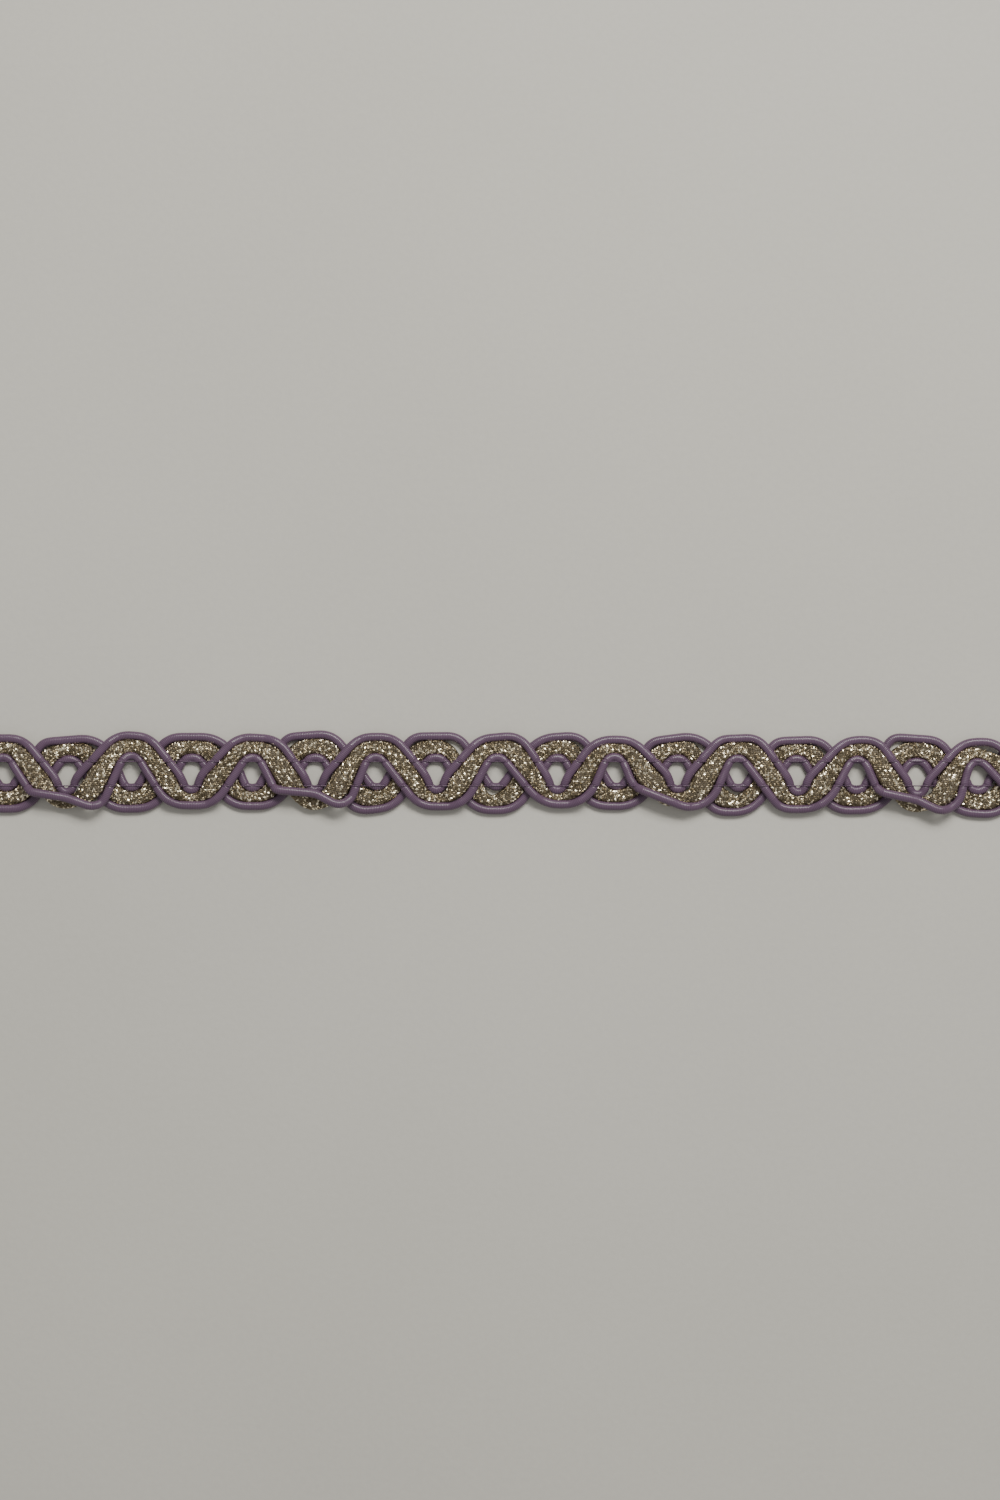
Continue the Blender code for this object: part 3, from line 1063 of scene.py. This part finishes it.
@dataclass(frozen=True)
class WrappedCord:
    """A cord with thread wound round it: its sizes in millimetres and its mesh."""

    width: float = 1.52
    height: float = 1.25
    wrap_pitch: float = 0.3
    ridge_depth: float = 0.015
    sides: int = 12
    steps_per_wrap: int = 4
    squareness: float = 2.0

    def mesh(self, name: str, strand: Strand, finish: bpy.types.Material) -> bpy.types.Mesh:
        """Make the cord's mesh along a line.

        Args:
            name: the name of the node tree.
            strand: the cord as it lies.
            finish: its material.

        Returns:
            The mesh, with its ridges and the number "ridge", 0 in a groove and 1 on a ridge.
        """
        tree = GeometryTree(name)
        entry = tree.open(
            {"Width": self.width, "Height": self.height, "Wrap Pitch": self.wrap_pitch,
             "Ridge Depth": self.ridge_depth},
            {"Sides": self.sides, "Steps Per Wrap": self.steps_per_wrap, "Finish": finish})
        upright = tree.upright_path(entry["Geometry"],
                                    entry["Wrap Pitch"] / entry["Steps Per Wrap"])
        spline = tree.node("GeometryNodeSplineParameter")
        path = tree.captured(upright, {"Along": spline["Length"]})
        section = tree.section(entry["Sides"], entry["Width"], entry["Height"], self.squareness)
        outline = tree.captured(section, {"Around": spline["Factor"]})
        tube = tree.swept(path[0], outline[0], capped=True)
        turns = path["Along"] / entry["Wrap Pitch"] - outline["Around"]
        wave = tree.math("SINE", turns * (2 * math.pi))
        outward = tree.scaled(tree.node("GeometryNodeInputNormal")[0], wave * entry["Ridge Depth"])
        ridged = tree.node("GeometryNodeSetPosition", {}, {"Geometry": tube, "Offset": outward})
        marked = tree.stored(ridged["Geometry"], "ridge", wave * 0.5 + 0.5)
        smooth = tree.node("GeometryNodeSetShadeSmooth", {}, {"Geometry": marked})
        tree.close(smooth["Geometry"], "Finish")
        return tree.result(path_object(name, strand, self.width, self.height))


@dataclass(frozen=True)
class FoilPlait:
    """A tube plaited from flat foil yarn: its sizes in millimetres and its mesh.

    Every second ring holds floats of foil that lean one way, and the rings between them floats that
    lean the other way.
    """

    width: float = 2.4
    height: float = 1.35
    skin: float = 0.26
    ring_step: float = 0.2
    around: int = 30
    float_length: float = 0.58
    float_width: float = 0.3
    float_height: float = 0.15
    lean: float = math.radians(42)
    roll: float = math.radians(18)
    pitch: float = math.radians(13)
    yaw: float = math.radians(16)
    least_size: float = 0.8
    most_size: float = 1.2
    squareness: float = 2.8
    bright_power: float = 6.0
    bright_growth: float = 0.4
    seed: int = 7

    def float_mesh(self, tree: GeometryTree, entry: Placed) -> Value:
        """Add the nodes of one float: a short strip with two slopes that meet in its middle.

        Args:
            tree: the tree.
            entry: the node that holds its inputs.

        Returns:
            The float's geometry.
        """
        block = tree.node("GeometryNodeMeshUVSphere", {},
                          {"Segments": 4, "Rings": 2, "Radius": 0.5})
        shaped = tree.node("GeometryNodeTransform", {}, {
            "Geometry": block["Mesh"], "Scale": tree.vector(
                entry["Float Length"], entry["Float Width"], entry["Float Height"])})
        return shaped["Geometry"]

    def random(self, tree: GeometryTree, low: float, high: float, draw: int) -> Value:
        """Return a random number for each float, whose seed comes from the number of the draw."""
        return tree.node("FunctionNodeRandomValue", {"data_type": "FLOAT"},
                         {2: low, 3: high, "Seed": self.seed + draw})[1]

    def mesh(self, name: str, strand: Strand, half_length: float,
             finish: bpy.types.Material) -> bpy.types.Mesh:
        """Make the plait's mesh along a line.

        Args:
            name: the name of the node tree.
            strand: the cord as it lies.
            half_length: how far from the middle of the trim floats may be, in millimetres.
            finish: its material.

        Returns:
            The mesh, with the number "tone" that differs from float to float.
        """
        tree = GeometryTree(name)
        entry = tree.open(
            {"Width": self.width - self.skin, "Height": self.height - self.skin,
             "Ring Step": self.ring_step, "Float Length": self.float_length,
             "Float Width": self.float_width, "Float Height": self.float_height,
             "Half Length": half_length},
            {"Around": self.around, "Lean": self.lean, "Finish": finish})
        upright = tree.upright_path(entry["Geometry"], entry["Ring Step"])
        index = tree.node("GeometryNodeInputIndex")[0]
        tangent = tree.node("ShaderNodeSeparateXYZ", {}, {0: tree.node("GeometryNodeInputTangent")[0]})
        path = tree.captured(upright, {"Ring": index, "Along X": tangent["X"],
                                       "Along Y": tangent["Y"], "Along Z": tangent["Z"]})
        section = tree.section(entry["Around"], entry["Width"], entry["Height"], self.squareness)
        outline = tree.captured(section, {"Place": index})
        tube = tree.swept(path[0], outline[0], capped=False)
        inside = tree.math("LESS_THAN", tree.math("ABSOLUTE", tree.position()["X"]),
                           entry["Half Length"])
        taken = tree.math("LESS_THAN", (path["Ring"] + outline["Place"]) % 2.0, 0.5) * inside
        hand = 1.0 - (path["Ring"] % 2.0) * 2.0
        forward = tree.node("FunctionNodeAlignRotationToVector", {"axis": "X"}, {
            "Vector": tree.vector(path["Along X"], path["Along Y"], path["Along Z"])})
        facing = tree.node("FunctionNodeAlignRotationToVector", {"axis": "Z", "pivot_axis": "X"}, {
            "Rotation": forward[0], "Vector": tree.node("GeometryNodeInputNormal")[0]})
        lean = hand * entry["Lean"] + self.random(tree, -self.yaw, self.yaw, draw=1)
        turn = tree.node("FunctionNodeEulerToRotation", {}, {0: tree.vector(
            self.random(tree, -self.roll, self.roll, draw=2),
            self.random(tree, -self.pitch, self.pitch, draw=3), lean)})
        facing = tree.node("FunctionNodeRotateRotation", {"rotation_space": "LOCAL"},
                           {0: facing[0], 1: turn[0]})
        toned = tree.stored(tube, "tone", self.random(tree, 0.0, 1.0, draw=5))
        bright = tree.number("tone") ** self.bright_power * self.bright_growth
        size = self.random(tree, self.least_size, self.most_size, draw=4) + bright
        placed = tree.node("GeometryNodeInstanceOnPoints", {}, {
            "Points": toned, "Selection": taken, "Instance": self.float_mesh(tree, entry),
            "Rotation": facing[0], "Scale": tree.vector(size, size, size)})
        tree.close(placed[0], "Finish")
        return tree.result(path_object(name, strand, self.width, self.height))


@dataclass(frozen=True)
class Stitching:
    """Two rows of fine thread that run along the trim and hold its cords, in millimetres."""

    rows: tuple[tuple[str, float], ...] = (("upper", 2.4), ("lower", -2.0))
    thread: WrappedCord = WrappedCord(0.2, 0.2, wrap_pitch=0.45, ridge_depth=0.02, sides=6)
    lift: float = 0.02
    smooth_reach: float = 0.3
    pinch_depth: float = 0.12
    pinch_reach: float = 0.25

    def pinched(self, strand: Strand) -> Strand:
        """Draw a gimp in a little where a row of stitches crosses it.

        Args:
            strand: the gimp.

        Returns:
            The gimp with its waists.
        """
        share = np.ones(len(strand.plan))
        for _, row in self.rows:
            near = np.exp(-((strand.plan[:, 1] - row) / self.pinch_reach) ** 2)
            share -= self.pinch_depth * near
        return Strand(strand.plan, strand.underside, strand.half_width * share,
                      strand.height * share)

    def strand(self, row: float, line: Line, half_length: float, gimps: list[Strand],
               cores: list[Strand]) -> Strand:
        """Find how a row's thread lies: over gimps, through cores and straight over the holes.

        Args:
            row: the row's Y.
            line: how finely lines are drawn.
            half_length: how far the thread reaches to both sides of the middle.
            gimps: the gimps.
            cores: the cores.

        Returns:
            The thread as it lies.
        """
        x = np.arange(-half_length, half_length, line.step)
        plan = np.column_stack([x, np.full(len(x), row)])
        surface = np.zeros(len(x))
        height = np.zeros(len(x))
        for cords, through in ((gimps, False), (cores, True)):
            for cord in cords:
                apart = distances(plan, cord.plan)
                nearest = apart.argmin(axis=1)
                share = apart.min(axis=1) / cord.half_width[nearest]
                bulge = np.sqrt(np.clip(1.0 - share ** 2, 0.0, None))
                half = cord.height[nearest] / 2
                top = cord.underside[nearest] + half * (1.0 + bulge)
                over = (share < 1.0) & (top > surface)
                surface = np.where(over, top, surface)
                place = cord.underside[nearest] + half if through else top + self.lift
                height = np.where(over, place, height)
        known = surface > 0.0
        height = np.interp(x, x[known], height[known])
        height = line.mean(height, self.smooth_reach)
        half_width = np.full(len(x), self.thread.width / 2)
        return Strand(plan, height - self.thread.height / 2, half_width, 2 * half_width)


@dataclass(frozen=True)
class Braid:
    """The whole trim."""

    cut: SquareCut = SquareCut()
    laying: Laying = Laying()
    gimp: WrappedCord = WrappedCord()
    plait: FoilPlait = FoilPlait()
    stitching: Stitching = Stitching()
    front_rest: float = 0.6
    front_core_most: float = 1.75
    overshoot: float = 2.5
    ground_inset: float = 0.2
    ground_pitch: float = 1.2
    cut_margin: float = 0.04

    def bands(self) -> tuple[Band, Band]:
        """Describe the bands.

        Returns:
            The band below and the band that lies over it.
        """
        back = Band("back", BACK_LOBES, first_side=Side.CREST, rest=self.gimp.ridge_depth,
                    core_slips=BACK_SLIPS)
        front = Band("front", FRONT_LOBES, first_side=Side.TROUGH, rest=self.front_rest,
                     slipped=SLIPPED_TURNS, bare_edges=BARE_EDGES, core_slips=FRONT_SLIPS,
                     waisted=True, core_most_scale=self.front_core_most)
        return back, front

    def build(self) -> None:
        """Lay both bands and make every piece."""
        back, front = self.bands()
        back_cords = back.lay(self.laying, [])
        front_cords = front.lay(self.laying, list(back_cords.values()))
        satin = SatinWrap().material()
        foil = Foil().material()
        ground = Ground().material()
        for band, cords in ((back, back_cords), (front, front_cords)):
            for cord, strand in cords.items():
                node = f"{band.name}_{cord.value}"
                if cord is Cord.CORE:
                    self.build_core(node, band, strand, foil, ground)
                else:
                    self.build_gimp(node, self.stitching.pinched(strand), satin)
        self.build_stitches((back_cords, front_cords), satin)

    def build_stitches(self, bands: tuple[dict[Cord, Strand], ...], satin: bpy.types.Material) -> None:
        """Make the rows of stitches.

        Args:
            bands: the cords of both bands.
            satin: the material of the thread.
        """
        gimps = [strand for cords in bands for cord, strand in cords.items() if cord is not Cord.CORE]
        cores = [cords[Cord.CORE] for cords in bands]
        for label, row in self.stitching.rows:
            name = "stitching_" + label
            strand = self.stitching.strand(row, self.laying.line,
                                           self.cut.length / 2 + self.overshoot, gimps, cores)
            mesh = self.stitching.thread.mesh(name, strand, satin)
            self.add_piece(name, mesh, (), self.cut_margin)

    def build_gimp(self, node: str, strand: Strand, satin: bpy.types.Material) -> None:
        """Make one wrapped cord.

        Args:
            node: the node that it stands for.
            strand: the cord as it lies.
            satin: its material.
        """
        name = node + "_wrap"
        mesh = self.gimp.mesh(name, self.cut.stretch(strand, self.overshoot), satin)
        self.add_piece(name, mesh, (node,))

    def build_core(self, node: str, band: Band, strand: Strand, foil: bpy.types.Material,
                   ground: bpy.types.Material) -> None:
        """Make one gold core: the plaited foil and the yarn inside it.

        Args:
            node: the node that it stands for.
            band: the band that it belongs to.
            strand: the cord as it lies.
            foil: the material of the plait.
            ground: the material of the yarn inside.
        """
        stretch = self.cut.stretch(strand, self.overshoot)
        ground_strand = Strand(stretch.plan, stretch.underside + self.ground_inset,
                               stretch.half_width - self.ground_inset,
                               stretch.height - 2 * self.ground_inset)
        inner = WrappedCord(band.core_width, band.core_height, wrap_pitch=self.ground_pitch,
                            ridge_depth=0.0, squareness=self.plait.squareness)
        name = node + "_ground"
        self.add_piece(name, inner.mesh(name, ground_strand, ground), (node,))
        name = node + "_plait"
        mesh = self.plait.mesh(name, stretch, self.cut.length / 2 + self.plait.float_length, foil)
        self.add_piece(name, mesh, (node,), self.cut_margin)

    def add_piece(self, name: str, mesh: bpy.types.Mesh, nodes: tuple[str, ...],
                  margin: float = 0.0) -> None:
        """Cut a mesh off by the trim's ends, or a margin inside them, and make and log the piece."""
        self.cut.shortened(margin).trim(mesh)
        report(piece_object(name, mesh, nodes))


def report(piece: bpy.types.Object) -> None:
    """Log the name and the number of triangles of a piece."""
    count = sum(len(polygon.vertices) - 2 for polygon in piece.data.polygons)
    log.info("%s: %d triangles", piece.name, count)


# Surroundings


@dataclass(frozen=True)
class AreaLight:
    """A flat light that faces the trim: its place and sides in metres and its power in watts."""

    name: str
    place: tuple[float, float, float]
    sides: tuple[float, float]
    power: float
    colour: Colour

    def hang(self) -> None:
        """Hang the light in the scene."""
        lamp = bpy.data.lights.new(self.name, "AREA")
        lamp.shape = "RECTANGLE"
        lamp.size, lamp.size_y = self.sides
        lamp.energy = self.power
        lamp.color = self.colour
        holder = linked(self.name, lamp)
        holder.location = self.place
        holder.rotation_euler = (-Vector(self.place)).to_track_quat("-Z", "Y").to_euler()


@dataclass(frozen=True)
class Surroundings:
    """The table, the lights and the camera, in metres."""

    table_side: float = 8.0
    table_parts: int = 8
    table_drop: float = 0.00002
    view_width: float = 0.18
    view_centre: tuple[float, float] = (0.00063, 0.00443)
    camera_height: float = 0.4
    sensor: float = 24.0
    world_colour: Colour = (1.0, 0.99, 0.975)
    world_strength: float = 0.4
    lights: tuple[AreaLight, ...] = (
        AreaLight("window", (0.16, 0.48, 0.62), (0.56, 0.27), 5.4, (1.0, 0.98, 0.94)),
        AreaLight("lamp", (0.17, 0.45, 0.64), (0.26, 0.047), 1.15, (1.0, 0.97, 0.9)))

    def build_table(self) -> None:
        """Make the table top."""
        work = bmesh.new()
        bmesh.ops.create_grid(work, x_segments=self.table_parts, y_segments=self.table_parts,
                              size=self.table_side / 2,
                              matrix=Matrix.Translation((0.0, 0.0, -self.table_drop)))
        mesh = bpy.data.meshes.new("table_top")
        work.to_mesh(mesh)
        work.free()
        mesh.materials.append(TableTop().material())
        linked("table_top", mesh)
        log.info("table_top")

    def build_lights(self) -> None:
        """Set the soft studio light."""
        world = bpy.data.worlds.new("studio")
        world.use_nodes = True
        background = world.node_tree.nodes["Background"]
        background.inputs["Color"].default_value = (*self.world_colour, 1.0)
        background.inputs["Strength"].default_value = self.world_strength
        bpy.context.scene.world = world
        for light in self.lights:
            light.hang()

    def build_camera(self) -> None:
        """Set the camera straight above the trim."""
        data = bpy.data.cameras.new("camera")
        data.sensor_fit = "HORIZONTAL"
        data.sensor_width = self.sensor
        data.lens = self.sensor * self.camera_height / self.view_width
        camera = linked("camera", data)
        camera.location = (*self.view_centre, self.camera_height)
        bpy.context.scene.camera = camera


def main() -> None:
    """Dress the trim and set the scene."""
    logging.basicConfig(level=logging.INFO, format="%(name)s: %(message)s")
    surroundings = Surroundings()
    surroundings.build_camera()
    surroundings.build_table()
    surroundings.build_lights()
    Braid().build()


if __name__ == "__main__":
    main()
